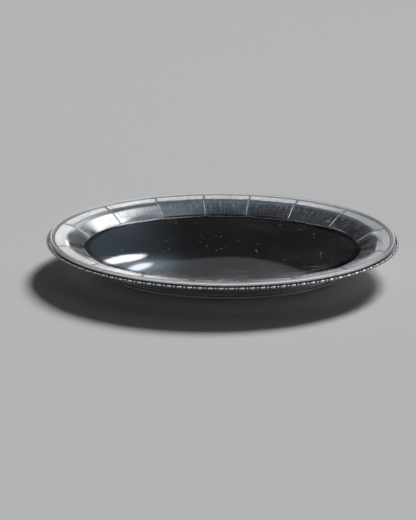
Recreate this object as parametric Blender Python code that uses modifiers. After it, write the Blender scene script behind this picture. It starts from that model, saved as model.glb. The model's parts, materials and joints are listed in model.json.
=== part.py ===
"""Oval serving platter on a low oval foot.

Metres, +Z up, +X along the long axis, +Y to the rear.  The platter stands on
z = 0 with the centre of its footprint at the origin.

An offset w is measured inwards from the outline. The border and the foot
follow ovals of half axes (HALF_X - w, HALF_Y - w). The rings of the dish are
offset squarely from the oval where the panels meet the moulding, so that the
lines between the panels run straight in across the rim.
"""
import math

import bmesh
import bpy
import numpy as np

MM = 0.001

# ---- driving dimensions -------------------------------------------------
LENGTH = 355 * MM            # over the edge wire, long axis
WIDTH = 267 * MM             # over the edge wire, short axis
WELL_HEIGHT = 26.0 * MM      # top of the well floor above the table
WELL_DEPTH = 10.6 * MM       # rim plane above the well floor
SHEET = 1.2 * MM             # thickness of the raised sheet
GAP = 0.3 * MM               # solder line between neighbouring pieces

CREASE_W = 38.0 * MM         # offset of the crease between floor and side
RIM_W = 8.6 * MM             # offset where the panels meet the moulding
EDGE_W = 3.75 * MM           # offset of the turned-down edge of the sheet
EDGE_DROP = 3.6 * MM         # how far the edge is turned down below the rim plane
SEAT_DROP = 0.5 * MM         # the rim is set down under the moulding

PANELS = 16                  # panels round the rim, centred on both axes
PANEL_STEPS = 4              # facets across one panel
PANEL_CROWN = 0.42 * MM      # how far the middle of a panel stands above its lines

LIP_HEIGHT = 1.35 * MM       # crown of the lip above the rim plane

BEAD_RADIUS = 1.7 * MM       # edge wire, fullest radius
BEAD_DROP = 3.0 * MM         # wire axis below the rim plane
BEAD_PERIODS = 96            # bead-and-reel repeats round the edge
LENGTHS = ("right", "rear", "left", "front")   # border is applied in four lengths

FOOT_W = 56.0 * MM           # offset of the foot at the table
FOOT_TOP_W = 64.5 * MM       # offset of the foot under the well
FOOT_SHEET = 1.4 * MM        # horizontal thickness of the foot strip
BASE_WIRE_HEIGHT = 2.6 * MM
BASE_WIRE_WIDTH = 4.4 * MM
COLLAR_HEIGHT = 2.6 * MM
COLLAR_WIDTH = 4.6 * MM
RING_STEPS = 64              # facets round the foot rings

# ---- derived ------------------------------------------------------------
HALF_X = LENGTH / 2
HALF_Y = WIDTH / 2
RIM_Z = WELL_HEIGHT + WELL_DEPTH


# ---- scene --------------------------------------------------------------
for old in list(bpy.data.objects):
    bpy.data.objects.remove(old, do_unlink=True)

parts = bpy.data.collections.new("oval_serving_platter")
shapes = bpy.data.collections.new("section_profiles")
bpy.context.scene.collection.children.link(parts)
bpy.context.scene.collection.children.link(shapes)


def silver(name, colour, rough):
    """A plated silver finish for one piece."""
    mat = bpy.data.materials.new(name)
    mat.use_nodes = True
    bsdf = mat.node_tree.nodes["Principled BSDF"]
    bsdf.inputs["Base Color"].default_value = (*colour, 1.0)
    bsdf.inputs["Metallic"].default_value = 1.0
    bsdf.inputs["Roughness"].default_value = rough
    return mat


def add_part(name, data, mat):
    ob = bpy.data.objects.new(name, data)
    parts.objects.link(ob)
    data.materials.append(mat)
    return ob


def oval(w, t):
    """Point on the oval at offset w, at the angle parameter t."""
    return (HALF_X - w) * math.cos(t), (HALF_Y - w) * math.sin(t)


def panel_lines():
    """Angle parameters of the lines between panels, evenly spread as seen from the centre."""
    a, b = HALF_X - RIM_W, HALF_Y - RIM_W
    out = []
    for k in range(PANELS):
        phi = (k - 0.5) * math.tau / PANELS
        out.append(math.atan2(a * math.sin(phi), b * math.cos(phi)) % math.tau)
    out = sorted(out)
    return [out[-1] - math.tau] + out


def even_parameters(w, count):
    """Parameters of points spread evenly along the oval at offset w, from the right end round."""
    fine = np.linspace(0.0, math.tau, 7201)
    xs = (HALF_X - w) * np.cos(fine)
    ys = (HALF_Y - w) * np.sin(fine)
    run = np.concatenate([[0.0], np.cumsum(np.hypot(np.diff(xs), np.diff(ys)))])
    want = np.asarray(count) * run[-1]
    return np.interp(want % run[-1], run, fine), run[-1]


# ---- the raised dish ----------------------------------------------------
def ease(lo, hi, x):
    """Smooth step from 0 at lo to 1 at hi."""
    u = min(max((x - lo) / (hi - lo), 0.0), 1.0)
    return u * u * (3 - 2 * u)


def side_slope(u):
    """Slope in degrees across the panel, u from 0 at the moulding to 1 at the crease: rim, shoulder, side."""
    return 4.6 + 1.6 * u + 22.5 * ease(0.33, 0.55, u) + 2.0 * ease(0.5, 1.0, u)


def side_drop(u):
    """Depth below the rim plane, scaled so that the side ends on the well floor."""
    def total(to):
        mids = (np.arange(200) + 0.5) * to / 200
        return sum(math.tan(math.radians(side_slope(m))) for m in mids) * to / 200
    return WELL_DEPTH * total(u) / total(1.0)


def crown(u):
    """How far the lines lie below the middles of the panels."""
    return PANEL_CROWN * ease(0.0, 0.5, u) * (1 - 0.75 * ease(0.75, 1.0, u))


def dish_point(w, t):
    """Point of the dish at offset w, square in from the oval where panels and moulding meet."""
    a, b = HALF_X - RIM_W, HALF_Y - RIM_W
    nx, ny = math.cos(t) / a, math.sin(t) / b
    size = math.hypot(nx, ny)
    return a * math.cos(t) - (w - RIM_W) * nx / size, b * math.sin(t) - (w - RIM_W) * ny / size


lines = panel_lines()
angles = []      # (parameter, nearness to a line) round the dish
for k in range(PANELS):
    t0, t1 = lines[k], lines[k + 1]
    for j in range(PANEL_STEPS):
        f = j / PANEL_STEPS
        angles.append((t0 + (t1 - t0) * f, abs(2 * f - 1) ** 2.4))

STATIONS = (0.80, 0.62, 0.54, 0.48, 0.42, 0.34, 0.17, 0.0)     # closer together on the shoulder
rings = [(CREASE_W, RIM_Z - WELL_DEPTH, 0.0)]
for u in STATIONS:
    rings.append((RIM_W + (CREASE_W - RIM_W) * u, RIM_Z - side_drop(u), crown(u)))
rings.append((RIM_W - 0.1 * MM, RIM_Z - SEAT_DROP, 0.0))
rings.append((EDGE_W, RIM_Z - SEAT_DROP, 0.0))
rings.append((EDGE_W, RIM_Z - EDGE_DROP, 0.0))

# loft through the rings, outward round the long way, with the well floor as one flat face
bm = bmesh.new()
loops = []
for w, z, low in rings:
    loops.append([bm.verts.new((*dish_point(w, t), z - low * f)) for t, f in angles])
bm.faces.new(loops[0])
for inner, outer in zip(loops[:-1], loops[1:]):
    for i in range(len(angles)):
        n = (i + 1) % len(angles)
        bm.faces.new((inner[i], outer[i], outer[n], inner[n])).smooth = True
rim = len(STATIONS)
sharp = [set(loops[i]) for i in (0, rim, rim + 1, rim + 2, rim + 3)]
for e in bm.edges:          # crisp crease, rim step and turned-down edge
    e.smooth = not any(e.verts[0] in ring and e.verts[1] in ring for ring in sharp)
for ring, nxt in zip(loops[:rim], loops[1:rim + 1]):
    for i in range(0, len(angles), PANEL_STEPS):          # lines between the panels
        bm.edges.get((ring[i], nxt[i])).smooth = False
mesh = bpy.data.meshes.new("dish")
bm.to_mesh(mesh)
bm.free()
dish = add_part("dish", mesh, silver("raised_silver", (0.84, 0.84, 0.85), 0.12))
shell = dish.modifiers.new("sheet", "SOLIDIFY")
shell.thickness = SHEET
shell.offset = -1.0
shell.use_even_offset = True


# ---- swept mouldings ----------------------------------------------------
def section(name, points):
    """A closed section: first coordinate is the offset w outwards from zero, second is height."""
    data = bpy.data.curves.new(name, "CURVE")
    data.dimensions = "2D"
    data.fill_mode = "NONE"
    spline = data.splines.new("POLY")
    spline.points.add(len(points) - 1)
    for p, (u, v) in zip(spline.points, points):
        p.co = (u, v, 0.0, 1.0)
    spline.use_cyclic_u = True
    ob = bpy.data.objects.new(name, data)
    ob.hide_render = True
    ob.display_type = "WIRE"
    shapes.objects.link(ob)
    return ob


def sweep(name, w, z, params, profile, mat, closed):
    """Sweep a section along the oval at offset w."""
    data = bpy.data.curves.new(name, "CURVE")
    data.dimensions = "3D"
    data.twist_mode = "Z_UP"
    data.bevel_mode = "OBJECT"
    data.bevel_object = profile
    data.use_fill_caps = not closed
    spline = data.splines.new("POLY")
    spline.points.add(len(params) - 1)
    for p, t in zip(spline.points, params):
        x, y = oval(w, t)
        p.co = (x, y, z, 1.0)
    spline.use_cyclic_u = closed
    spline.use_smooth = True
    return add_part(name, data, mat)


def quarter(w, k, shares, gap):
    """Parameters along length k of the border; lengths are centred on the four ends of the axes."""
    _, total = even_parameters(w, [0.0])
    trim = gap / 2 / total
    start, end = (k - 0.5) / 4 + trim, (k + 0.5) / 4 - trim
    spots = [start + (end - start) * s for s in shares]
    params, _ = even_parameters(w, spots)
    return [float(p) for p in params]


# lip with two reeds, on the seat of the rim: sections are drawn about offset LIP_W
LIP_W = 6.1 * MM
lip_profile = section("lip_section", [
    (u * MM, v * MM) for u, v in (
        (-2.0, -0.2), (-2.0, 0.35), (-1.7, 0.7), (-1.3, 0.45), (-0.95, 0.9),
        (-0.55, 0.7), (0.1, 1.2), (0.95, LIP_HEIGHT / MM), (1.8, 1.1), (2.4, 0.45), (2.4, -0.2))])
lip_silver = silver("cast_border_silver", (0.86, 0.86, 0.87), 0.10)
for k, label in enumerate(LENGTHS):
    sweep("rim_moulding_" + label, LIP_W, RIM_Z,
          quarter(LIP_W, k, [i / 20 for i in range(21)], GAP), lip_profile, lip_silver, False)

# bead-and-reel edge wire: share of the period, share of the radius
BEAD_W = BEAD_RADIUS + 0.03 * MM
PATTERN = ((0.0, 0.5), (0.11, 0.97), (0.53, 0.97), (0.64, 0.5), (0.82, 0.8))
bead_silver = silver("bead_wire_silver", (0.82, 0.82, 0.83), 0.14)
per_length = BEAD_PERIODS // len(LENGTHS)
for k, label in enumerate(LENGTHS):
    shares, radii = [], []
    for n in range(per_length):
        for share, radius in PATTERN:
            shares.append((n + share) / per_length)
            radii.append(radius)
    shares.append(1.0)
    radii.append(PATTERN[0][1])
    data = bpy.data.curves.new("bead_border_" + label, "CURVE")
    data.dimensions = "3D"
    data.twist_mode = "Z_UP"
    data.bevel_depth = BEAD_RADIUS
    data.bevel_resolution = 1
    data.use_fill_caps = True
    spline = data.splines.new("POLY")
    spline.points.add(len(shares) - 1)
    for p, t, r in zip(spline.points, quarter(BEAD_W, k, shares, GAP), radii):
        x, y = oval(BEAD_W, t)
        p.co = (x, y, RIM_Z - BEAD_DROP, 1.0)
        p.radius = r
    spline.use_smooth = True
    add_part("bead_border_" + label, data, bead_silver)

# ---- the foot -----------------------------------------------------------
ring_params, _ = even_parameters(FOOT_TOP_W, [i / RING_STEPS for i in range(RING_STEPS)])
ring_params = [float(p) for p in ring_params]

# base wire, flat underneath, rounded outside
hw, h = BASE_WIRE_WIDTH / 2, BASE_WIRE_HEIGHT
base_profile = section("base_wire_section", [
    (-hw, 0.0), (-hw, h), (hw * 0.45, h), (hw * 0.9, h * 0.72), (hw, h * 0.36), (hw * 0.8, 0.0)])
base_w = FOOT_W + hw
sweep("foot_base_wire", base_w, 0.0, ring_params, base_profile,
      silver("foot_wire_silver", (0.80, 0.80, 0.81), 0.16), True)

# strip of the foot, curving in from the base wire to the collar
collar_top = WELL_HEIGHT - SHEET - GAP
wall_low = BASE_WIRE_HEIGHT + GAP
wall_high = collar_top - COLLAR_HEIGHT - GAP
wall_steps = 5
outer_side, inner_side = [], []
for i in range(wall_steps + 1):
    f = i / wall_steps
    w = FOOT_W + 1.3 * MM + (FOOT_TOP_W - FOOT_W - 1.3 * MM) * (1 - (1 - f) ** 2.2)
    z = wall_low + (wall_high - wall_low) * f
    outer_side.append((FOOT_TOP_W - w, z))
    inner_side.append((FOOT_TOP_W - w - FOOT_SHEET * (1.0 + 0.35 * (1 - f) ** 2), z))
wall_profile = section("foot_wall_section", inner_side + outer_side[::-1])
sweep("foot_wall", FOOT_TOP_W, 0.0, ring_params, wall_profile,
      silver("foot_strip_silver", (0.81, 0.81, 0.82), 0.15), True)

# half-round collar between the foot and the well
cw, ch = COLLAR_WIDTH / 2, COLLAR_HEIGHT
collar_profile = section("collar_section", [
    (-cw, 0.0), (-cw, ch), (cw * 0.7, ch), (cw, ch * 0.66), (cw, ch * 0.34), (cw * 0.7, 0.0)])
sweep("foot_collar", FOOT_TOP_W + 0.2 * MM, collar_top - COLLAR_HEIGHT, ring_params, collar_profile,
      silver("foot_collar_silver", (0.80, 0.80, 0.81), 0.16), True)
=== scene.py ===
"""Oval serving platter: the visual model on its fixed frame, with studio, floor and camera."""
import json
import math

import bpy
import numpy as np
from mathutils import Matrix, Vector

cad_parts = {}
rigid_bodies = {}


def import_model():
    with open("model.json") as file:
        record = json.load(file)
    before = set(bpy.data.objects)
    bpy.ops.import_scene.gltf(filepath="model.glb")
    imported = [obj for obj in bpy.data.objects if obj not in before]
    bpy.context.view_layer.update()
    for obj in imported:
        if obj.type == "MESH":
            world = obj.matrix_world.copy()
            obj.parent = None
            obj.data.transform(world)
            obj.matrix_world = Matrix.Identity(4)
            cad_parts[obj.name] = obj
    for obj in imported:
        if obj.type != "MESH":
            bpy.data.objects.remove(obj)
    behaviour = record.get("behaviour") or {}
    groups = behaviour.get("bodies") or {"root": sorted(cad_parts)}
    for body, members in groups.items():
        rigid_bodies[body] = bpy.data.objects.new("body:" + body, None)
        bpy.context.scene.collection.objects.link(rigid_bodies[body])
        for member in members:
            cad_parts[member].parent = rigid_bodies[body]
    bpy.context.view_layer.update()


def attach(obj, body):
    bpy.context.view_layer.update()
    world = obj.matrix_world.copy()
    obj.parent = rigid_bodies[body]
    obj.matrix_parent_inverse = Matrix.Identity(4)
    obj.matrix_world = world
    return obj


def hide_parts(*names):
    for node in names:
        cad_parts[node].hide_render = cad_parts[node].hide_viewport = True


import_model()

MM = 0.001
TAU = math.tau

# ------------------------------------------------------------------ sizes
HX, HY = 177.5, 133.5            # half axes over the edge wire, mm
WELL_Z = 26.0                    # top of the well floor
DEPTH = 10.6                     # rim plane above the well floor
RIM_Z = WELL_Z + DEPTH
SHEET = 1.2
CREASE_W, RIM_W = 38.0, 8.6      # offsets of crease and of the panels' outer edge
EDGE_W, EDGE_DROP, SEAT_DROP = 3.75, 3.6, 0.5
PANELS = 16
PERIODS = 96
LENGTHS = ("right", "rear", "left", "front")
FOOT_W, FOOT_TOP_W, FOOT_SHEET = 56.0, 64.5, 1.4
BASE_H, BASE_WID = 2.6, 4.4
COLLAR_H, COLLAR_WID = 2.6, 4.6
GAP = 0.3


# ------------------------------------------------------------------ mesh helpers
def smoothstep(a, b, x):
    u = np.clip((np.asarray(x, float) - a) / (b - a), 0.0, 1.0)
    return u * u * (3 - 2 * u)


def make_piece(name, verts, faces, masks, node, mat, flow=None):
    """One mesh piece in place of a frame node.

    masks holds the shading masks of each vertex. flow holds, per vertex, a point on a circle as long as the way
    round the oval, and the offset from the outline: finishing marks run along these.
    """
    me = bpy.data.meshes.new(name)
    me.from_pydata((np.asarray(verts) * MM).tolist(), [], faces)
    me.validate()
    attr = me.attributes.new("mask", "FLOAT_COLOR", "POINT")
    buf = np.zeros((len(verts), 4), np.float32)
    buf[:, :np.shape(masks)[1]] = masks
    attr.data.foreach_set("color", buf.ravel())
    if flow is None:
        turn = np.arctan2(np.asarray(verts)[:, 1] / HY, np.asarray(verts)[:, 0] / HX)
        flow = np.stack([155.0 * np.cos(turn), 155.0 * np.sin(turn), np.asarray(verts)[:, 2]], axis=1)
    fl = me.attributes.new("flow", "FLOAT_VECTOR", "POINT")
    fl.data.foreach_set("vector", (np.asarray(flow) * MM).astype(np.float32).ravel())
    me.polygons.foreach_set("use_smooth", np.ones(len(me.polygons), bool))
    me.update()
    ob = bpy.data.objects.new(name, me)
    bpy.context.scene.collection.objects.link(ob)
    me.materials.append(mat)
    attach(ob, "root")
    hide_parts(node)
    return ob


def loft_faces(rows, cols, close_rows=False, close_cols=True):
    """Quads of a grid of rows x cols vertices."""
    faces = []
    for r in range(rows if close_rows else rows - 1):
        r1 = (r + 1) % rows
        for c in range(cols if close_cols else cols - 1):
            c1 = (c + 1) % cols
            faces.append((r * cols + c, r * cols + c1, r1 * cols + c1, r1 * cols + c))
    return faces


def oval(w, t):
    return (HX - w) * np.cos(t), (HY - w) * np.sin(t)


def even_parameters(w, shares):
    """Parameters of points at these shares of the way round the oval at offset w."""
    fine = np.linspace(0.0, TAU, 14401)
    xs, ys = oval(w, fine)
    run = np.concatenate([[0.0], np.cumsum(np.hypot(np.diff(xs), np.diff(ys)))])
    return np.interp((np.asarray(shares) * run[-1]) % run[-1], run, fine), run[-1]


def outward(w, t):
    """Unit outward direction of the oval at offset w."""
    nx, ny = np.cos(t) / (HX - w), np.sin(t) / (HY - w)
    l = np.hypot(nx, ny)
    return nx / l, ny / l


# ------------------------------------------------------------------ silver
def silver(name, tint, rough, satin, side, haze, scratch, dark, film, bump_mm=0.03):
    """Used silver plate: wiped haze, fine scratches, specks, and painted shade: darkening in creases, grooves, recesses
    and on sides turned away from the light.

    mask red is how much painted shade a point gets, green how much it belongs to the side, with its wiping marks up and
    down, blue how satin it is, alpha how much dried polish sits there. film gives how much thin dull film lies
    on plain, side and satin areas.
    """
    mat = bpy.data.materials.new(name)
    mat.use_nodes = True
    nt = mat.node_tree
    nodes, link = nt.nodes, nt.links.new
    bsdf = nodes["Principled BSDF"]

    def node(kind, **props):
        n = nodes.new(kind)
        for k, v in props.items():
            setattr(n, k, v)
        return n

    def math_(op, a, b=None, clamp=False):
        n = node("ShaderNodeMath", operation=op, use_clamp=clamp)
        for i, v in enumerate((a, b)):
            if v is None:
                continue
            if isinstance(v, (int, float)):
                n.inputs[i].default_value = v
            else:
                link(v, n.inputs[i])
        return n.outputs[0]

    def ramp(value, lo, hi):
        n = node("ShaderNodeMapRange", interpolation_type="SMOOTHSTEP")
        link(value, n.inputs["Value"])
        n.inputs["From Min"].default_value = lo
        n.inputs["From Max"].default_value = hi
        return n.outputs["Result"]

    def scaled(vector, x, y, z):
        n = node("ShaderNodeVectorMath", operation="MULTIPLY")
        link(vector, n.inputs[0])
        n.inputs[1].default_value = (x, y, z)
        return n.outputs[0]

    def noise(scale, detail, rough_, distortion=0.0, vector=None):
        n = node("ShaderNodeTexNoise")
        n.inputs["Scale"].default_value = scale
        n.inputs["Detail"].default_value = detail
        n.inputs["Roughness"].default_value = rough_
        n.inputs["Distortion"].default_value = distortion
        link(vector or coord, n.inputs["Vector"])
        return n.outputs["Fac"]

    def mix(fac, a, b):
        n = node("ShaderNodeMix", data_type="RGBA")
        for sock, v in ((n.inputs[0], fac), (n.inputs[6], a), (n.inputs[7], b)):
            if isinstance(v, (int, float)):
                sock.default_value = v
            elif isinstance(v, tuple):
                sock.default_value = (*v, 1.0)
            else:
                link(v, sock)
        return n.outputs[2]

    coord = node("ShaderNodeTexCoord").outputs["Object"]
    attr = node("ShaderNodeAttribute", attribute_name="mask")
    sep = node("ShaderNodeSeparateColor")
    link(attr.outputs["Color"], sep.inputs[0])
    painted_shade, side_mask, satin_mask = sep.outputs[0], sep.outputs[1], sep.outputs[2]
    flow = node("ShaderNodeAttribute", attribute_name="flow").outputs["Vector"]

    # wiped haze and mottling
    wiped = ramp(noise(15.0, 5.0, 0.62, 0.8), 0.42, 0.74)
    fine = noise(240.0, 4.0, 0.6)
    # polishing lines round the oval, wiping marks up and down the side
    lap = noise(1.0, 3.0, 0.65, 0.0, scaled(flow, 34.0, 34.0, 1500.0))
    wipe = noise(1.0, 3.0, 0.62, 0.4, scaled(flow, 820.0, 820.0, 80.0))
    mottle = noise(430.0, 3.0, 0.6)
    # scratches: long thin streaks in three directions, thinned out by a broad noise
    streaks = None
    for k, (turn, along, across) in enumerate(((0.35, 22.0, 1900.0), (1.45, 30.0, 2300.0), (2.5, 26.0, 2100.0))):
        mp = node("ShaderNodeMapping")
        mp.inputs["Rotation"].default_value = (0.0, 0.0, turn)
        mp.inputs["Location"].default_value = (0.37 * k, 0.11 * k, 0.05 * k)
        mp.inputs["Scale"].default_value = (along, across, along)
        link(coord, mp.inputs["Vector"])
        line = ramp(noise(1.0, 1.0, 0.5, 0.0, mp.outputs[0]), 0.68, 0.76)
        line = math_("MULTIPLY", line, ramp(noise(9.0 + 4 * k, 2.0, 0.5, 0.3), 0.50, 0.68))
        streaks = line if streaks is None else math_("MAXIMUM", streaks, line)
    # dust and dried specks
    specks = None
    for scale, reach, least in ((58.0, 0.050, 0.62), (140.0, 0.080, 0.76), (260.0, 0.095, 0.86)):
        vor = node("ShaderNodeTexVoronoi")
        vor.inputs["Scale"].default_value = scale
        link(coord, vor.inputs["Vector"])
        vsep = node("ShaderNodeSeparateColor")
        link(vor.outputs["Color"], vsep.inputs[0])
        dot = math_("MULTIPLY", ramp(vor.outputs["Distance"], reach, reach * 0.6), ramp(vsep.outputs[0], least, least + 0.04))
        specks = dot if specks is None else math_("MAXIMUM", specks, dot)

    # colour
    base = mix(math_("MULTIPLY", fine, 0.5), tint, tuple(c * 0.94 for c in tint))
    base = mix(math_("MULTIPLY", wiped, 0.22), base, (tint[0] * 0.90, tint[1] * 0.905, tint[2] * 0.91))
    # painted shade: where the red mask is high, the base colour and the specular tint go dark brown
    patchy_shade = math_("MULTIPLY", painted_shade, math_("ADD", math_("MULTIPLY", noise(330.0, 3.0, 0.6), 0.5), 0.72), True)
    base = mix(math_("MULTIPLY", patchy_shade, dark), base, (0.105, 0.094, 0.082))
    link(base, bsdf.inputs["Base Color"])
    link(mix(patchy_shade, (1.0, 1.0, 1.0), (0.30, 0.29, 0.28)), bsdf.inputs["Specular Tint"])

    # a thin film of dust and dried polish, which scatters light: patches, wiping marks, scratches and specks
    f = math_("MULTIPLY", math_("ADD", math_("MULTIPLY", wiped, 1.7), 0.35), film[0])
    f = math_("ADD", f, math_("MULTIPLY", side_mask, math_("MULTIPLY", ramp(math_("ADD", math_("MULTIPLY", wipe, 0.6), math_("MULTIPLY", mottle, 0.4)), 0.46, 0.61), film[1])))
    f = math_("ADD", f, math_("MULTIPLY", satin_mask, math_("MULTIPLY", math_("ADD", math_("MULTIPLY", lap, 0.6), 0.7), film[2])))
    f = math_("ADD", f, math_("MULTIPLY", streaks, 0.045 * scratch))
    f = math_("MULTIPLY", f, math_("SUBTRACT", 1.0, math_("MULTIPLY", painted_shade, 0.85)))
    f = math_("ADD", f, math_("MULTIPLY", specks, 0.55))
    f = math_("ADD", f, math_("MULTIPLY", attr.outputs["Alpha"], math_("ADD", math_("MULTIPLY", noise(260.0, 2.0, 0.5), 0.9), 0.3)), True)
    link(math_("SUBTRACT", 1.0, f, True), bsdf.inputs["Metallic"])

    # roughness
    r = math_("ADD", math_("MULTIPLY", wiped, haze), rough)
    r = math_("ADD", r, math_("MULTIPLY", math_("SUBTRACT", fine, 0.5), 0.02))
    r = math_("ADD", r, math_("MULTIPLY", satin_mask, math_("ADD", math_("MULTIPLY", lap, 0.12), satin - 0.06)))
    r = math_("ADD", r, math_("MULTIPLY", side_mask, math_("ADD", math_("MULTIPLY", wipe, 0.08), side - 0.04)))
    r = math_("ADD", r, math_("MULTIPLY", streaks, 0.07 * scratch))
    r = math_("ADD", r, math_("MULTIPLY", painted_shade, 0.015))
    r = math_("ADD", r, math_("MULTIPLY", specks, 0.45), True)
    link(r, bsdf.inputs["Roughness"])

    # relief: planishing, wiping marks, scratches, specks
    h = noise(46.0, 2.0, 0.45)
    h = math_("ADD", h, math_("MULTIPLY", noise(120.0, 2.0, 0.5), 0.2))
    h = math_("ADD", h, math_("MULTIPLY", math_("ADD", math_("MULTIPLY", wipe, 1.2), math_("MULTIPLY", mottle, 1.0)), side_mask))
    h = math_("SUBTRACT", h, math_("MULTIPLY", streaks, 0.03 * scratch))
    h = math_("ADD", h, math_("MULTIPLY", specks, 0.5))
    bump = node("ShaderNodeBump")
    bump.inputs["Strength"].default_value = 1.0
    bump.inputs["Distance"].default_value = bump_mm * MM
    link(h, bump.inputs["Height"])
    link(bump.outputs[0], bsdf.inputs["Normal"])
    return mat


BRIGHT = (0.905, 0.91, 0.918)
mat_dish = silver("dish_silver", BRIGHT, 0.022, 0.22, 0.120, 0.014, 1.0, 0.98, (0.006, 0.27, 0.06), 0.012)
mat_lip = silver("moulding_silver", (0.80, 0.806, 0.818), 0.28, 0.05, 0.05, 0.06, 0.6, 0.96, (0.07, 0.0, 0.0))
# the beads and the foot are given a darker silver than the dish and lip: painted shade for their dim, shadowed look
mat_bead = silver("bead_silver_shaded", (0.46, 0.466, 0.48), 0.13, 0.05, 0.05, 0.06, 0.4, 0.96, (0.07, 0.0, 0.0))
mat_foot = silver("foot_silver_shaded", (0.50, 0.495, 0.49), 0.20, 0.10, 0.08, 0.07, 1.0, 0.8, (0.06, 0.0, 0.0))


# ------------------------------------------------------------------ dish
A0, B0 = HX - RIM_W, HY - RIM_W


def rim_line(t):
    """Point and outward direction where the panels meet the moulding."""
    nx, ny = outward(RIM_W, t)
    return A0 * np.cos(t), B0 * np.sin(t), nx, ny


def dish_xy(w, t):
    x, y, nx, ny = rim_line(t)
    return x - (w - RIM_W) * nx, y - (w - RIM_W) * ny


def slope(u):
    """Slope of the side in degrees: level rim, round shoulder, straight side."""
    return 5.9 - 1.3 * smoothstep(0.0, 0.22, u) + 1.6 * u + 22.5 * smoothstep(0.205, 0.565, u) + 2.0 * smoothstep(0.5, 1.0, u)


_u = np.linspace(0.0, 1.0, 2001)
_s = np.tan(np.radians(slope(_u)))
_d = np.concatenate([[0.0], np.cumsum((_s[1:] + _s[:-1]) / 2 * np.diff(_u))])
_d *= DEPTH / _d[-1]


def drop(w):
    return np.interp((w - RIM_W) / (CREASE_W - RIM_W), _u, _d)


# lines between panels, evenly spread as seen from the centre
phis = (np.arange(PANELS) - 0.5) * TAU / PANELS
lines = np.sort(np.arctan2(A0 * np.sin(phis), B0 * np.cos(phis)) % TAU)
lines = np.concatenate([[lines[-1] - TAU], lines])
half = [0.0, .0025, .005, .0075, .0100, .0128, .0160, .0200, .0250, .0320, .0410, .0530, .0690, .0900,
        .1150, .1450, .1800, .2200, .2650, .3150, .3700, .4300]
shares = np.array(half + [0.5] + [1 - h for h in half[:0:-1]])
ts, fs = [], []
for k in range(PANELS):
    ts.append(lines[k] + (lines[k + 1] - lines[k]) * shares)
    fs.append(shares)
T, F = np.concatenate(ts), np.concatenate(fs)
N = len(T)
IS_LINE = np.arange(N) % len(shares) == 0


def line_distance(x, y):
    """Distance along the ring from each of its points to the nearest line."""
    step = np.hypot(np.roll(x, -1) - x, np.roll(y, -1) - y)
    run = np.concatenate([[0.0], np.cumsum(step)])
    total, run = run[-1], run[:-1]
    at = run[IS_LINE]
    d = np.abs(run[:, None] - at[None, :])
    return np.minimum(d, total - d).min(axis=1)


def pillow(w):
    """How far the lines lie below the middles of the panels."""
    u = np.clip((w - RIM_W) / (CREASE_W - RIM_W), 0, 1)
    return 0.42 * smoothstep(0.0, 0.5, u) * (1 - 0.75 * smoothstep(0.75, 1.0, u))


def groove(w):
    return 0.29 * smoothstep(RIM_W + 0.3, RIM_W + 1.8, w) * (1 - smoothstep(CREASE_W - 1.6, CREASE_W - 0.1, w))


def floor_warp(x, y):
    """Gentle unevenness of the sheet."""
    r = np.hypot(x / (HX - CREASE_W), y / (HY - CREASE_W))
    wave = 0.030 * np.sin(x / 33.0 + 0.7) * np.cos(y / 26.0 + 0.3) + 0.018 * np.sin((x + 1.6 * y) / 24.0 + 1.1)
    return wave * (1 - smoothstep(1.0, 1.5, r))


ROUND = 155.0                      # radius of the circle as long as the oval
turn = (lambda run: TAU * run / run[-1])(np.concatenate([[0.0], np.cumsum(
    np.hypot(np.diff(np.append(A0 * np.cos(T), A0 * np.cos(T[0]))), np.diff(np.append(B0 * np.sin(T), B0 * np.sin(T[0])))))]))[:-1]


def dish_ring(w, z, amount_pillow, amount_groove, warp=1.0):
    x, y = dish_xy(w, T)
    d = line_distance(x, y)
    zz = np.full(N, z) - amount_pillow * np.abs(2 * F - 1) ** 2.4
    zz = zz - amount_groove * (np.exp(-(d / 0.38) ** 2) - 0.20 * np.exp(-((d - 1.05) / 0.4) ** 2))
    zz = zz + warp * floor_warp(x, y)
    return np.stack([x, y, zz], axis=1), d


rows, masks, flows = [], [], []

# dried polish that was left in the crease and beside a line: (turn, offset, reach along, reach across, amount)
POLISH = ((0.62, 36.9, 0.090, 0.50, 1.20), (0.79, 31.4, 0.010, 0.50, 1.30), (0.77, 31.7, 0.007, 0.40, 1.20), (0.70, 34.4, 0.040, 1.60, 0.16), (2.62, 36.8, 0.10, 0.40, 0.40), (2.42, 37.4, 0.26, 0.35, 0.85),
          (-1.765, 19.2, 0.010, 0.5, 0.80), (-1.71, 19.4, 0.008, 0.4, 0.90), (-1.685, 19.4, 0.009, 0.4, 0.80), (1.52, 27.5, 0.012, 1.2, 0.35))
# how far the painted shade on the rim and the polish on the side reach beside the lines, and how much polish sits in
# them: little at the right
LINE_REACH = 0.52 + 0.26 * smoothstep(0.1, 0.5, -np.sin(T))
IN_LINES = 0.12 + 0.43 * np.maximum(smoothstep(0.85, 1.15, T % TAU) * (1 - smoothstep(3.6, 4.2, T % TAU)), 0.0)


def polish(w):
    total_ = np.zeros(N)
    for turn0, w0, along, across, amount in POLISH:
        off = (T - turn0 + math.pi) % TAU - math.pi
        total_ += amount * np.exp(-(off / along) ** 2 - ((w - w0) / across) ** 2)
    return total_


def add_row(ring, w, red, green, blue, residue=0.0):
    rows.append(ring)
    m = np.zeros((N, 4))
    m[:, 0], m[:, 1], m[:, 2], m[:, 3] = red, green, blue, residue
    masks.append(m)
    flows.append(np.stack([ROUND * np.cos(turn), ROUND * np.sin(turn), np.full(N, float(w))], axis=1))


# floor, from a small ring at the centre out to the crease
FILLET = 0.16
lower = CREASE_W + FILLET
cx, cy = dish_xy(lower, T)
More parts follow.
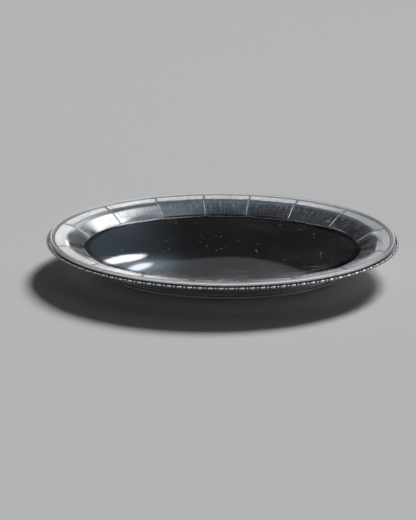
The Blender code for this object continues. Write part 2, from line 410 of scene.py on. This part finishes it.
# painted shade along the crease: a band on the floor that is wider at the rear, with less of it at the rear left and
# the ends
turned = (T + math.pi / 2) % TAU - math.pi / 2
crease_shade = 1.0 - np.clip(0.45 * np.exp(-((turned - 2.45) / 0.50) ** 2) + 0.40 * np.exp(-((turned - 3.35) / 0.35) ** 2) + 0.45 * np.exp(-((turned + 0.05) / 0.38) ** 2), 0.0, 0.6)
crease_shade_width = 3.2 * smoothstep(0.30, 0.75, T % TAU) * (1 - smoothstep(1.75, 2.15, T % TAU))
for f in np.concatenate([np.linspace(0.02, 0.87, 15), [0.90], np.linspace(0.92, 0.985, 7), [0.993, 0.9975, 0.9992, 1.0]]):
    x, y = cx * f, cy * f
    if f == 1.0:
        ring, d = dish_ring(lower, WELL_Z, 0.0, groove(lower))
        add_row(ring, lower, crease_shade, 0.1, 0.0)
    else:
        away = (1 - f) * np.hypot(cx, cy)
        add_row(np.stack([x, y, np.full(N, WELL_Z) + floor_warp(x, y)], axis=1), lower + 60 * (1 - f), crease_shade * (1 - smoothstep(0.0, 7.0, away - 2.0 - crease_shade_width)), 0.0, 0.0)
# tight fillet at the crease
for s in np.linspace(0.0, 1.0, 7)[1:]:
    w = lower - 2 * FILLET * s
    z = WELL_Z + (DEPTH - drop(CREASE_W - FILLET)) * s ** 2
    ring, d = dish_ring(w, z, pillow(w) * s, groove(w))
    # painted shade in the fillet, fading up the side
    add_row(ring, w, crease_shade * (1 - 0.25 * s), 0.5 * s, 0.0, 0.2 * np.exp(-(d / 0.5) ** 2))
# side and rim
for w in np.concatenate([[CREASE_W - FILLET - 0.08], np.linspace(CREASE_W - FILLET - 0.4, 25.5, 22), np.linspace(25.1, 16.4, 30), np.linspace(16.0, RIM_W + 0.5, 14)]):
    ring, d = dish_ring(w, RIM_Z - drop(w), pillow(w), groove(w))
    level = float(1 - smoothstep(15.0, 23.0, w))
    mark = np.exp(-(d / LINE_REACH) ** 2) * (groove(w) > 0.02)
    # red: painted shade in and beside the grooves on the level rim; alpha: polish in the lines on the side
    add_row(ring, w, 1.0 * level * mark, (1.0 - level) * (1 - 0.5 * float(smoothstep(27.0, 37.0, w))), level, np.maximum(IN_LINES * (1 - level) * mark, polish(w)))
# painted shade (red) at the panels' outer edge, on the seat under the moulding and on the turned-down edge
for w, z, red in ((RIM_W + 0.15, RIM_Z, 0.15), (RIM_W, RIM_Z - 0.06, 0.5), (RIM_W - 0.06, RIM_Z - 0.3, 1.0),
                  (RIM_W - 0.2, RIM_Z - SEAT_DROP, 1.0), (RIM_W - 1.0, RIM_Z - SEAT_DROP, 1.0),
                  (EDGE_W + 0.8, RIM_Z - SEAT_DROP, 1.0), (EDGE_W + 0.15, RIM_Z - SEAT_DROP - 0.02, 1.0),
                  (EDGE_W, RIM_Z - SEAT_DROP - 0.15, 1.0), (EDGE_W, RIM_Z - EDGE_DROP + 0.15, 1.0),
                  (EDGE_W + 0.15, RIM_Z - EDGE_DROP, 0.7), (EDGE_W + SHEET - 0.15, RIM_Z - EDGE_DROP, 0.4),
                  (EDGE_W + SHEET, RIM_Z - EDGE_DROP + 0.15, 0.4), (EDGE_W + SHEET, RIM_Z - SEAT_DROP - SHEET - 0.4, 0.5),
                  (EDGE_W + SHEET + 0.4, RIM_Z - SEAT_DROP - SHEET, 0.4), (RIM_W - 0.6, RIM_Z - SEAT_DROP - SHEET, 0.15)):
    ring, d = dish_ring(w, z, 0.0, 0.0, 0.0)
    add_row(ring, w, red, 0.0, 0.6)
# underside, following the top, with slight painted shade
for w in np.concatenate([np.linspace(RIM_W + 0.4, 26.0, 12), np.linspace(27.8, CREASE_W - 0.4, 6)]):
    tilt = math.radians(float(slope((w - RIM_W) / (CREASE_W - RIM_W))))
    ring, d = dish_ring(w, RIM_Z - drop(w) - SHEET / math.cos(tilt), pillow(w), 0.5 * groove(w))
    add_row(ring, w, 0.1, 0.0, 0.5)
for w, z in ((CREASE_W + 0.3, WELL_Z - SHEET + 0.10), (CREASE_W + 1.0, WELL_Z - SHEET)):
    ring, d = dish_ring(w, z, 0.0, 0.0)
    add_row(ring, w, 0.2, 0.0, 0.5)
ux, uy = dish_xy(CREASE_W + 1.4, T)
for f in np.concatenate([[1.0, 0.96], np.linspace(0.88, 0.02, 5)]):
    x, y = ux * f, uy * f
    add_row(np.stack([x, y, np.full(N, WELL_Z - SHEET) + floor_warp(x, y)], axis=1), CREASE_W + 60 * (1 - f), 0.12, 0.0, 0.6)

grid = np.concatenate(rows)
R = len(rows)
faces = [tuple(reversed(f)) for f in loft_faces(R, N)]
top, bottom = len(grid), len(grid) + 1
mid = float(floor_warp(np.array(0.0), np.array(0.0)))
grid = np.concatenate([grid, [[0, 0, WELL_Z + mid], [0, 0, WELL_Z - SHEET + mid]]])
for c in range(N):
    c1 = (c + 1) % N
    faces.append((top, c, c1))
    faces.append((bottom, (R - 1) * N + c1, (R - 1) * N + c))
mask = np.concatenate(masks + [np.array([[0, 0, 0, 0], [0.12, 0, 0.6, 0]])])
flow_all = np.concatenate(flows + [np.array([[0, 0, 90.0], [0, 0, 90.0]])])
make_piece("platter_dish", grid, faces, mask, "dish", mat_dish, flow_all)


# ------------------------------------------------------------------ swept pieces
def sweep(name, params, w0, section, shade_per_point, node, mat, closed):
    """Sweep a closed section of (offset, height) points along the oval; offsets are from the outline."""
    section = np.asarray(section)
    M, K = len(params), len(section)
    x0, y0 = oval(w0, params)
    nx, ny = outward(w0, params)
    out = np.empty((M, K, 3))
    for j, (w, z) in enumerate(section):
        out[:, j, 0] = x0 + nx * (w0 - w)
        out[:, j, 1] = y0 + ny * (w0 - w)
        out[:, j, 2] = z
    verts = out.reshape(-1, 3)
    faces = loft_faces(M, K, close_rows=closed, close_cols=True)
    m = np.zeros((M, K, 3))
    m[:, :, 0] = np.asarray(shade_per_point)[None, :]
    if not closed:
        faces.append(tuple(range(K - 1, -1, -1)))
        faces.append(tuple((M - 1) * K + j for j in range(K)))
    return make_piece(name, verts, faces, m.reshape(-1, 3), node, mat)


def arc(cw, cz, rw, rz, a0, a1, n):
    """Points of an elliptic arc in the section plane, angles in degrees from the outward side."""
    a = np.radians(np.linspace(a0, a1, n))
    return [(cw - rw * math.cos(v), cz + rz * math.sin(v)) for v in a]


def quarter(w, k, count):
    _, total = even_parameters(w, [0.0])
    trim = 0.06 / 2 / total
    spots = np.linspace((k - 0.5) / 4 + trim, (k + 0.5) / 4 - trim, count)
    return even_parameters(w, spots)[0]


# lip with two fine reeds, turned down a little over the edge
lip = [(8.15, RIM_Z - 0.2), (8.17, RIM_Z - 0.05)]
lip += arc(7.66, RIM_Z + 0.10, 0.50, 0.46, 176, 14, 10)
lip += [(7.16, RIM_Z + 0.06)]
lip += arc(6.62, RIM_Z + 0.24, 0.53, 0.52, 172, 12, 11)
lip += [(6.03, RIM_Z + 0.14)]
lip += arc(4.55, RIM_Z - 0.05, 1.55, 1.40, 158, -20, 26)
lip += [(3.07, RIM_Z - 0.78), (3.11, RIM_Z - 0.97), (3.21, RIM_Z - 1.05), (3.34, RIM_Z - 0.97), (3.43, RIM_Z - 0.6), (3.52, RIM_Z - 0.26), (4.4, RIM_Z - 0.24), (7.6, RIM_Z - 0.24)]
# painted shade under the lip and in the grooves beside the reeds
lip_shade = []
for w, z in lip:
    low = 1.0 if (z < RIM_Z + 0.02 and w > 5.0) or (w > 3.2 and z < RIM_Z - 0.2) else 0.0
    g = max(k * math.exp(-((w - c) / r) ** 2) for c, r, k in ((8.15, 0.20, 0.6), (7.16, 0.24, 0.7), (6.03, 0.30, 0.95))) if z < RIM_Z + 0.75 else 0.0
    lip_shade.append(max(low, g))
for k, label in enumerate(LENGTHS):
    sweep("lip_" + label, quarter(6.1, k, 150), 6.1, lip, lip_shade, "rim_moulding_" + label, mat_lip, False)


# bead-and-reel edge wire
BEAD, REEL, NECK, BEAD_Z = 1.52, 1.44, 0.56, RIM_Z - 3.40


def bead_radius(s):
    """Radius along one repeat, s from 0 to 1: a long bead, then a short one, with necks between."""
    x = (s - 0.335) / 0.270
    long_ = np.where(np.abs(x) < 1, BEAD * np.clip(1 - np.abs(x) ** 2.7, 0, 1) ** 0.46, 0)
    y = (s - 0.835) / 0.115
    short = np.where(np.abs(y) < 1, REEL * np.clip(1 - np.abs(y) ** 2.1, 0, 1) ** 0.48, 0)
    return np.maximum(NECK, np.maximum(long_, short))


per = PERIODS // 4
cuts = np.concatenate([[0.0, 0.03], 0.335 + 0.270 * np.sin(np.linspace(-1, 1, 17) * math.pi / 2) * 0.999,
                       [0.64, 0.69], 0.835 + 0.115 * np.sin(np.linspace(-1, 1, 11) * math.pi / 2) * 0.999, [0.97]])
cuts = np.unique(np.round(cuts, 5))
SIDES = 18
for k, label in enumerate(LENGTHS):
    run = np.concatenate([n + cuts for n in range(per)] + [[per]]) / per
    rad = np.concatenate([bead_radius(cuts) for n in range(per)] + [[NECK]])
    w0 = BEAD + 0.03
    _, total = even_parameters(w0, [0.0])
    trim = 0.06 / 2 / total
    spots = (k - 0.5) / 4 + trim + (0.25 - 2 * trim) * run
    t = even_parameters(w0, spots)[0]
    x0, y0 = oval(w0, t)
    nx, ny = outward(w0, t)
    ang = np.arange(SIDES) * TAU / SIDES
    ca, sa = np.cos(ang), np.sin(ang)
    V = np.empty((len(t), SIDES, 3))
    V[:, :, 0] = x0[:, None] + nx[:, None] * rad[:, None] * ca
    V[:, :, 1] = y0[:, None] + ny[:, None] * rad[:, None] * ca
    V[:, :, 2] = BEAD_Z + rad[:, None] * sa
    # painted shade: darker necks, and darker on the inward side and the lower half of each bead
    m = np.zeros((len(t), SIDES, 3))
    neck_shade = 1 - smoothstep(NECK, 0.98, rad)
    inward_and_lower_shade = np.maximum(0.95 * smoothstep(0.1, 0.9, -ca), 0.25 * smoothstep(0.1, 0.9, -sa))
    m[:, :, 0] = np.maximum(neck_shade[:, None], inward_and_lower_shade[None, :])
    M = len(t)
    faces = loft_faces(M, SIDES)
    faces.append(tuple(range(SIDES - 1, -1, -1)))
    faces.append(tuple((M - 1) * SIDES + j for j in range(SIDES)))
    faces = [tuple(reversed(f)) for f in faces]
    make_piece("bead_wire_" + label, V.reshape(-1, 3), faces, m.reshape(-1, 3), "bead_border_" + label, mat_bead)

# ------------------------------------------------------------------ foot
around = even_parameters(FOOT_TOP_W, np.arange(320) / 320)[0]
collar_top = WELL_Z - SHEET - GAP
wall_low, wall_high = BASE_H + GAP, collar_top - COLLAR_H - GAP

bw = FOOT_W + BASE_WID / 2
base = [(FOOT_W + BASE_WID, 0.15), (FOOT_W + BASE_WID, BASE_H - 0.2), (FOOT_W + BASE_WID - 0.2, BASE_H), (FOOT_W + 1.35, BASE_H)]
base += arc(FOOT_W + 1.3, 1.62, 0.75, 0.93, 80, -20, 9)
base += arc(FOOT_W + 1.15, 0.72, 1.15, 0.72, 50, -82, 12)
base += [(FOOT_W + 1.6, 0.0), (FOOT_W + BASE_WID - 0.2, 0.0)]
# painted shade on the base wire's inward upper side and its top
base_shade = [0.7 if (w > FOOT_W + 1.5 and z > 0.5) or z > BASE_H - 0.1 else 0.05 for w, z in base]
sweep("foot_wire", around, bw, base, base_shade, "foot_base_wire", mat_foot, True)

fw = np.linspace(0.0, 1.0, 22)
outer_w = FOOT_W + 1.3 + (FOOT_TOP_W - FOOT_W - 1.3) * (1 - (1 - fw) ** 2.2)
outer_z = wall_low + (wall_high - wall_low) * fw
inner_w = outer_w + FOOT_SHEET * (1 + 0.35 * (1 - fw) ** 2)
wall = [(w, z) for w, z in zip(outer_w, outer_z)] + [(w, z) for w, z in zip(inner_w[::-1], outer_z[::-1])]
# painted shade at the ends of the wall, where it meets the base wire and the collar
wall_shade = [0.8 if (z < wall_low + 0.5 or z > wall_high - 0.5) else 0.12 for w, z in wall]
wall, wall_shade = wall[::-1], wall_shade[::-1]
sweep("foot_side", around, FOOT_TOP_W, wall, wall_shade, "foot_wall", mat_foot, True)

cw = FOOT_TOP_W + 0.2
z0 = collar_top - COLLAR_H
col = [(cw + COLLAR_WID / 2, z0 + 0.1), (cw + COLLAR_WID / 2, z0 + COLLAR_H - 0.1), (cw + 1.9, z0 + COLLAR_H)]
col += [(cw - 0.9, z0 + COLLAR_H)]
col += arc(cw - 0.9, z0 + COLLAR_H / 2, 1.4, COLLAR_H / 2, 88, -88, 17)
col += [(cw - 0.9, z0), (cw + 1.9, z0)]
# painted shade on the top and bottom faces of the collar
collar_shade = [0.75 if (abs(z - z0) < 0.1 or abs(z - z0 - COLLAR_H) < 0.1) else 0.15 for w, z in col]
sweep("foot_collar_ring", around, cw, col, collar_shade, "foot_collar", mat_foot, True)


# ------------------------------------------------------------------ studio
def plane(name, size, z):
    me = bpy.data.meshes.new(name)
    s = size / 2
    me.from_pydata([(-s, -s, z), (s, -s, z), (s, s, z), (-s, s, z)], [], [(0, 1, 2, 3)])
    ob = bpy.data.objects.new(name, me)
    bpy.context.scene.collection.objects.link(ob)
    return ob


floor = plane("studio_floor", 12.0, -0.0002)
fm = bpy.data.materials.new("studio_floor_paper")
fm.use_nodes = True
fb = fm.node_tree.nodes["Principled BSDF"]
fb.inputs["Base Color"].default_value = (0.66, 0.655, 0.645, 1.0)
fb.inputs["Roughness"].default_value = 0.85
fb.inputs["Specular IOR Level"].default_value = 0.2
floor.data.materials.append(fm)

CAM_AZ, CAM_EL = 2.15, 20.7        # degrees, round the platter and above the horizon

# The surround is dim, with soft areas given by direction: (azimuth, elevation, half width, half height, edge, colour x strength).
# Azimuth is counted from straight behind the platter as the camera sees it, to the right.
PANELS_OF_LIGHT = (
    (12.0, 67.0, 34.0, 9.0, 8.0, (0.060, 0.103, 0.126)),      # overhead, behind
    (18.5, 36.5, 8.0, 6.5, 8.0, (0.68, 0.72, 0.78)),          # below the key
    (21.0, 17.0, 5.0, 5.0, 6.0, (0.055, 0.060, 0.074)),       # low, behind, right
    (0.0, 46.0, 22.0, 14.0, 12.0, (0.060, 0.074, 0.086)),     # high, behind
    (-40.0, 60.0, 24.0, 14.0, 12.0, (0.022, 0.028, 0.036)),   # overhead, left
    (34.0, 68.0, 13.0, 10.0, 13.0, (0.15, 0.190, 0.225)),     # glow round the key
    (180.0, 62.0, 180.0, 14.0, 12.0, (0.016, 0.021, 0.024)),  # overhead, all round
    (180.0, 60.0, 75.0, 22.0, 14.0, (1.45, 1.47, 1.50)),       # front, high
    (180.0, 20.0, 62.0, 16.0, 12.0, (0.16, 0.165, 0.175)),     # front, low
    (104.0, 48.0, 34.0, 24.0, 14.0, (1.35, 1.36, 1.40)),       # right
    (-104.0, 48.0, 30.0, 22.0, 14.0, (1.00, 1.00, 1.02)),      # left
    (62.0, 34.0, 9.0, 9.0, 6.0, (0.80, 0.81, 0.83)),           # small, right
    (-64.0, 31.0, 8.0, 8.0, 6.0, (0.65, 0.655, 0.665)),        # small, left
)
world = bpy.data.worlds.new("studio")
bpy.context.scene.world = world
world.use_nodes = True
wt = world.node_tree
wt.nodes.clear()
out = wt.nodes.new("ShaderNodeOutputWorld")
bg = wt.nodes.new("ShaderNodeBackground")
wt.links.new(bg.outputs[0], out.inputs[0])


def wmath(op, a, b=None):
    n = wt.nodes.new("ShaderNodeMath")
    n.operation = op
    for i, v in enumerate((a, b)):
        if v is None:
            continue
        if isinstance(v, (int, float)):
            n.inputs[i].default_value = v
        else:
            wt.links.new(v, n.inputs[i])
    return n.outputs[0]


def wedge(value, half_size, edge):
    n = wt.nodes.new("ShaderNodeMapRange")
    n.interpolation_type = "SMOOTHSTEP"
    wt.links.new(value, n.inputs["Value"])
    n.inputs["From Min"].default_value = half_size + edge
    n.inputs["From Max"].default_value = max(half_size - edge, 0.0)
    return n.outputs["Result"]


tc = wt.nodes.new("ShaderNodeTexCoord")
sx = wt.nodes.new("ShaderNodeSeparateXYZ")
wt.links.new(tc.outputs["Generated"], sx.inputs[0])
deg = 180.0 / math.pi
azim = wmath("MULTIPLY", wmath("ARCTAN2", sx.outputs[0], sx.outputs[1]), deg)
elev = wmath("MULTIPLY", wmath("ARCSINE", sx.outputs[2]), deg)
total = None
for az0, el0, haz, hel, edge, colour in PANELS_OF_LIGHT:
    off = wmath("WRAP", wmath("SUBTRACT", azim, az0 - CAM_AZ), 180.0)
    off.node.inputs[2].default_value = -180.0
    a = wedge(wmath("ABSOLUTE", off), haz, edge)
    e = wedge(wmath("ABSOLUTE", wmath("SUBTRACT", elev, el0)), hel, edge)
    p = wmath("MULTIPLY", a, e)
    sc = wt.nodes.new("ShaderNodeVectorMath")
    sc.operation = "SCALE"
    sc.inputs[0].default_value = colour
    wt.links.new(p, sc.inputs["Scale"])
    if total is None:
        total = sc.outputs[0]
    else:
        mx = wt.nodes.new("ShaderNodeVectorMath")
        mx.operation = "MAXIMUM"
        wt.links.new(total, mx.inputs[0])
        wt.links.new(sc.outputs[0], mx.inputs[1])
        total = mx.outputs[0]
add = wt.nodes.new("ShaderNodeVectorMath")
add.operation = "ADD"
add.inputs[1].default_value = (0.0105, 0.0105, 0.0115)
wt.links.new(total, add.inputs[0])
wt.links.new(add.outputs[0], bg.inputs["Color"])
bg.inputs["Strength"].default_value = 1.0
world.cycles_visibility.diffuse = False


def toward(az, el):
    """Unit direction at this azimuth, right of straight behind as the camera sees it, and elevation."""
    a, e = math.radians(az - CAM_AZ), math.radians(el)
    return Vector((math.sin(a) * math.cos(e), math.cos(a) * math.cos(e), math.sin(e)))


def softbox(name, az, el, dist, half_w, half_h, edge, radiance, colour, glossy=True, taper=0.0):
    """A soft-edged light facing the platter; edge is how far its border fades, in metres, taper how much it narrows upwards."""
    way = toward(az, el)
    across = Vector((0, 0, 1)).cross(way).normalized()
    upward = way.cross(across)
    d = bpy.data.lights.new(name, "AREA")
    d.shape = "RECTANGLE"
    d.size, d.size_y = 2 * (half_w + edge) * (1 + taper), 2 * (half_h + edge)
    d.energy = radiance * 4.0 * d.size * d.size_y
    d.color = colour
    d.use_nodes = True
    ob = bpy.data.objects.new(name, d)
    ob.location = Vector((0, 0, 0.03)) + way * dist
    ob.rotation_mode = "QUATERNION"
    ob.rotation_quaternion = Matrix((across, upward, way)).transposed().to_quaternion()
    ob.visible_camera = False
    ob.visible_glossy = glossy
    bpy.context.scene.collection.objects.link(ob)
    tree = d.node_tree
    tree.nodes.clear()
    new, join = tree.nodes.new, tree.links.new
    place = new("ShaderNodeVectorMath")
    place.operation = "SUBTRACT"
    join(new("ShaderNodeNewGeometry").outputs["Position"], place.inputs[0])
    place.inputs[1].default_value = ob.location
    offs, fades = [], []
    for axis in (across, upward):
        dp = new("ShaderNodeVectorMath")
        dp.operation = "DOT_PRODUCT"
        join(place.outputs[0], dp.inputs[0])
        dp.inputs[1].default_value = axis
        offs.append(dp.outputs["Value"])
    if taper:
        scale = new("ShaderNodeMath")
        scale.operation = "MULTIPLY_ADD"
        join(offs[1], scale.inputs[0])
        scale.inputs[1].default_value, scale.inputs[2].default_value = -taper / half_h, 1.0
        ratio = new("ShaderNodeMath")
        ratio.operation = "DIVIDE"
        join(offs[0], ratio.inputs[0])
        join(scale.outputs[0], ratio.inputs[1])
        offs[0] = ratio.outputs[0]
    for value, size in zip(offs, (half_w, half_h)):
        ab = new("ShaderNodeMath")
        ab.operation = "ABSOLUTE"
        join(value, ab.inputs[0])
        mr = new("ShaderNodeMapRange")
        mr.interpolation_type = "SMOOTHSTEP"
        join(ab.outputs[0], mr.inputs["Value"])
        mr.inputs["From Min"].default_value = size + edge
        mr.inputs["From Max"].default_value = max(size - edge, 0.0)
        fades.append(mr.outputs["Result"])
    both = new("ShaderNodeMath")
    both.operation = "MULTIPLY"
    join(fades[0], both.inputs[0])
    join(fades[1], both.inputs[1])
    em = new("ShaderNodeEmission")
    join(both.outputs[0], em.inputs["Strength"])
    join(em.outputs[0], new("ShaderNodeOutputLight").inputs[0])
    return ob


softbox("key", 27.5, 52.7, 1.7, 0.108, 0.30, 0.085, 1.11, (1.0, 0.995, 0.985), taper=0.45)
sun = bpy.data.lights.new("sun_side", "SUN")
sun.energy, sun.angle, sun.color = 3.1, math.radians(17.0), (0.965, 0.985, 1.0)
sun_ob = bpy.data.objects.new("sun_side", sun)
sun_ob.rotation_mode = "QUATERNION"
sun_ob.rotation_quaternion = toward(30.0, 42.0).to_track_quat("Z", "Y")
sun_ob.visible_glossy = False
bpy.context.scene.collection.objects.link(sun_ob)
softbox("fill", 0.0, 88.0, 2.2, 1.0, 1.0, 0.2, 0.13, (1.0, 1.0, 1.0), glossy=False)

# A soft screen behind the platter, nearly square to the view that a level mirror gives the camera. It is graded from white on
# the left to a cool grey on the right, with an oval opening where the level floor of the well looks, and has a grid in
# front, which keeps its light off the steep ends of the side.
SCREEN_AWAY, SCREEN_X, SCREEN_Y = 0.5, (-0.28, 0.24), (-0.13, 0.13)
GRID, LEAN = math.radians(20.0), 24.0
wide, tall = SCREEN_X[1] - SCREEN_X[0], SCREEN_Y[1] - SCREEN_Y[0]
sd = bpy.data.lights.new("screen", "AREA")
sd.shape = "RECTANGLE"
sd.size, sd.size_y = wide, tall
sd.spread = 2 * GRID
sd.energy = 4.0 * wide * tall * (math.tan(GRID) - GRID) / math.tan(GRID)
sd.use_nodes = True
screen = bpy.data.objects.new("screen", sd)
bpy.context.scene.collection.objects.link(screen)
ca, sa = math.cos(math.radians(CAM_AZ)), math.sin(math.radians(CAM_AZ))
ct, stl = math.cos(math.radians(LEAN)), math.sin(math.radians(LEAN))
screen_z = RIM_Z * MM + SCREEN_AWAY * math.tan(math.radians(CAM_EL))
sx_mid = sum(SCREEN_X) / 2
screen.location = (sx_mid * ca - SCREEN_AWAY * sa, sx_mid * sa + SCREEN_AWAY * ca, screen_z)
screen.rotation_euler = (math.radians(LEAN - 90.0), 0.0, math.radians(CAM_AZ))
screen.visible_camera = False
st = sd.node_tree
st.nodes.clear()


def snode(kind, **props):
    n = st.nodes.new(kind)
    for k, v in props.items():
        setattr(n, k, v)
    return n


def sput(sock, v):
    if isinstance(v, (int, float)):
        sock.default_value = v
    else:
        st.links.new(v, sock)


def smath(op, a, b=None):
    n = snode("ShaderNodeMath", operation=op)
    sput(n.inputs[0], a)
    if b is not None:
        sput(n.inputs[1], b)
    return n.outputs[0]


def step(value, lo, hi):
    """Smooth step from 0 at lo to 1 at hi."""
    n = snode("ShaderNodeMapRange", interpolation_type="SMOOTHSTEP")
    sput(n.inputs["Value"], value)
    sput(n.inputs["From Min"], lo)
    sput(n.inputs["From Max"], hi)
    return n.outputs["Result"]


def times(*parts):
    total_ = parts[0]
    for q in parts[1:]:
        total_ = smath("MULTIPLY", total_, q)
    return total_


def less(part):
    return smath("SUBTRACT", 1.0, part)


pos = snode("ShaderNodeNewGeometry").outputs["Position"]
dot = snode("ShaderNodeVectorMath", operation="DOT_PRODUCT")
st.links.new(pos, dot.inputs[0])
dot.inputs[1].default_value = (ca, sa, 0.0)
px = dot.outputs["Value"]
rise = snode("ShaderNodeVectorMath", operation="DOT_PRODUCT")
st.links.new(pos, rise.inputs[0])
rise.inputs[1].default_value = (stl * sa, -stl * ca, ct)
py = smath("SUBTRACT", rise.outputs["Value"], screen_z * ct - SCREEN_AWAY * stl)
span = SCREEN_X[1] - SCREEN_X[0]


def graded(tones):
    """Colour across the screen, from stops of (position, colour)."""
    n = snode("ShaderNodeValToRGB")
    sput(n.inputs[0], smath("DIVIDE", smath("SUBTRACT", px, SCREEN_X[0]), span))
    els = n.color_ramp.elements
    while len(els) < len(tones):
        els.new(0.5)
    for e, (x, c) in zip(els, tones):
        e.position = (x - SCREEN_X[0]) / span
        e.color = (*c, 1.0)
    return n.outputs[0]


above = graded(((-0.25, (0.41, 0.408, 0.402)), (-0.15, (0.45, 0.45, 0.446)), (-0.09, (1.00, 1.00, 0.996)), (-0.05, (1.20, 1.21, 1.22)),
                (0.00, (1.62, 1.63, 1.65)), (0.03, (1.58, 1.59, 1.62)), (0.06, (1.18, 1.19, 1.23)), (0.09, (0.92, 0.93, 0.98)), (0.118, (0.40, 0.404, 0.44)), (0.138, (0.14, 0.143, 0.158)), (0.22, (0.12, 0.122, 0.134))))
below = graded(((-0.25, (0.44, 0.437, 0.432)), (-0.165, (0.43, 0.43, 0.427)), (-0.135, (0.36, 0.36, 0.357)), (-0.108, (1.70, 1.70, 1.69)),
                (-0.085, (1.60, 1.60, 1.60)), (-0.050, (0.30, 0.302, 0.307)), (-0.005, (0.075, 0.076, 0.081)), (0.04, (0.10, 0.102, 0.112)), (0.075, (0.46, 0.468, 0.51)),
                (0.12, (0.31, 0.316, 0.345)), (0.15, (0.38, 0.387, 0.42))))
SCREEN_PEAK = 3.4


def oval_spot(cx, cz, half_x, half_z, lean, soft):
    """Soft-edged oval on the screen, leaning by so much height per width."""
    dx = smath("SUBTRACT", px, cx)
    dz = smath("SUBTRACT", smath("SUBTRACT", py, cz), smath("MULTIPLY", dx, lean))
    q = smath("ADD", smath("POWER", smath("ABSOLUTE", smath("DIVIDE", dx, half_x)), 2.0), smath("POWER", smath("ABSOLUTE", smath("DIVIDE", dz, half_z)), 2.0))
    return step(q, 1.0 + soft, max(1.0 - soft, 0.0))


def tinted(colour, amount):
    n = snode("ShaderNodeVectorMath", operation="SCALE")
    sput(n.inputs["Scale"], amount)
    if isinstance(colour, tuple):
        n.inputs[0].default_value = colour
    else:
        st.links.new(colour, n.inputs[0])
    return n.outputs[0]


def spread(cx, cz, half_x, half_z, lean):
    """Like an oval spot, fading all the way."""
    dx = smath("DIVIDE", smath("SUBTRACT", px, cx), half_x)
    dz = smath("DIVIDE", smath("SUBTRACT", smath("SUBTRACT", py, cz), smath("MULTIPLY", smath("SUBTRACT", px, cx), lean)), half_z)
    return smath("EXPONENT", smath("MULTIPLY", smath("ADD", smath("MULTIPLY", dx, dx), smath("MULTIPLY", dz, dz)), -1.0))


inside = times(step(px, -0.275, -0.235), step(px, 0.235, 0.200))
opening = oval_spot(0.0003, -0.0068, 0.1715, 0.0433, 0.012, 0.05)
high = step(py, -0.02, 0.01)
upper = times(inside, less(opening), high, step(py, 0.066, 0.036))
lower = times(inside, less(opening), less(high), step(py, -0.112, -0.080))
grey_from = smath("ADD", 0.0058, smath("MULTIPLY", smath("POWER", smath("MAXIMUM", px, 0.0), 2.0), 1.75))
layers = (
    tinted(above, times(upper, SCREEN_PEAK)),
    tinted(below, times(lower, SCREEN_PEAK)),
    tinted((0.024, 0.034, 0.045), times(opening, step(px, -0.04, -0.140))),                                                       # cool haze, left
    tinted((0.036, 0.036, 0.039), times(opening, step(py, smath("SUBTRACT", grey_from, 0.0016), smath("ADD", grey_from, 0.0016)))),  # low grey
    tinted((0.13, 0.165, 0.200), times(opening, spread(-0.094, 0.0150, 0.031, 0.0100, -0.10))),                                   # round the bright ovals
    tinted((0.72, 0.75, 0.78), times(opening, oval_spot(-0.1000, 0.0163, 0.0145, 0.0042, -0.27, 0.80))),
    tinted((1.12, 1.11, 1.09), times(opening, oval_spot(-0.1185, 0.0064, 0.0255, 0.0046, -0.21, 0.45))),
)
light_sum = layers[0]
for layer in layers[1:]:
    n = snode("ShaderNodeVectorMath", operation="ADD")
    st.links.new(light_sum, n.inputs[0])
    st.links.new(layer, n.inputs[1])
    light_sum = n.outputs[0]
emit = snode("ShaderNodeEmission")
st.links.new(light_sum, emit.inputs["Color"])
st.links.new(emit.outputs[0], snode("ShaderNodeOutputLight").inputs[0])

screen_for_dish = bpy.data.collections.new("lit_by_open_screen")
screen_for_border = bpy.data.collections.new("lit_by_plain_screen")
lit_from_top = bpy.data.collections.new("lit_from_top")
lit_from_right = bpy.data.collections.new("lit_from_right")
for ob in bpy.context.scene.objects:
    if ob.type == "MESH" and ob.name != "studio_floor" and not ob.hide_render:
        (screen_for_dish if ob.name == "platter_dish" else screen_for_border).objects.link(ob)
        if ob.name.startswith("lip_"):
            lit_from_top.objects.link(ob)
        if ob.name.startswith("bead_wire_"):
            lit_from_right.objects.link(ob)
screen.light_linking.receiver_collection = screen_for_dish
plain = softbox("screen_plain", 0.0, 21.8, 1.08, 0.40, 0.26, 0.04, 0.64, (1.0, 1.0, 1.0))
plain.light_linking.receiver_collection = screen_for_border
low_right = softbox("border_right", 36.0, 46.0, 1.4, 0.34, 0.24, 0.06, 1.1, (1.0, 1.0, 1.0))
low_right.light_linking.receiver_collection = lit_from_right
far_right = softbox("border_side", 86.0, 44.0, 1.2, 0.46, 0.34, 0.06, 2.4, (1.0, 1.0, 1.0))
far_right.light_linking.receiver_collection = lit_from_right
top = softbox("border_top", 0.0, 62.0, 1.5, 0.80, 0.50, 0.20, 0.085, (1.0, 1.0, 1.0))
top.light_linking.receiver_collection = lit_from_top

# ------------------------------------------------------------------ camera
PX = 355.0 / 352.6 * MM            # metres per pixel at the platter's centre
FOCAL = 2707.0                     # pixels
cam_data = bpy.data.cameras.new("camera")
cam_data.lens = 36.0 * FOCAL / 520.0
cam_data.sensor_width = 36.0
cam = bpy.data.objects.new("camera", cam_data)
bpy.context.scene.collection.objects.link(cam)
bpy.context.scene.camera = cam
az, el = math.radians(CAM_AZ), math.radians(CAM_EL)
back = Vector((math.sin(az) * math.cos(el), -math.cos(az) * math.cos(el), math.sin(el)))
right = Vector((math.cos(az), math.sin(az), 0.0))
up = right.cross(-back)
centre = Vector((0.0, 0.0, RIM_Z * MM))
cam.location = centre + back * (FOCAL * PX)
aim = (-back - right * ((222.4 - 208.0) / FOCAL) - up * ((260.0 - 237.1) / FOCAL)).normalized()
z_axis = -aim
x_axis = Vector((0, 0, 1)).cross(z_axis).normalized()
y_axis = z_axis.cross(x_axis)
cam.rotation_mode = "QUATERNION"
cam.rotation_quaternion = Matrix((x_axis, y_axis, z_axis)).transposed().to_quaternion()
cam_data.clip_start, cam_data.clip_end = 0.05, 60.0

bpy.context.scene.view_settings.view_transform = "Standard"
bpy.context.scene.view_settings.look = "None"
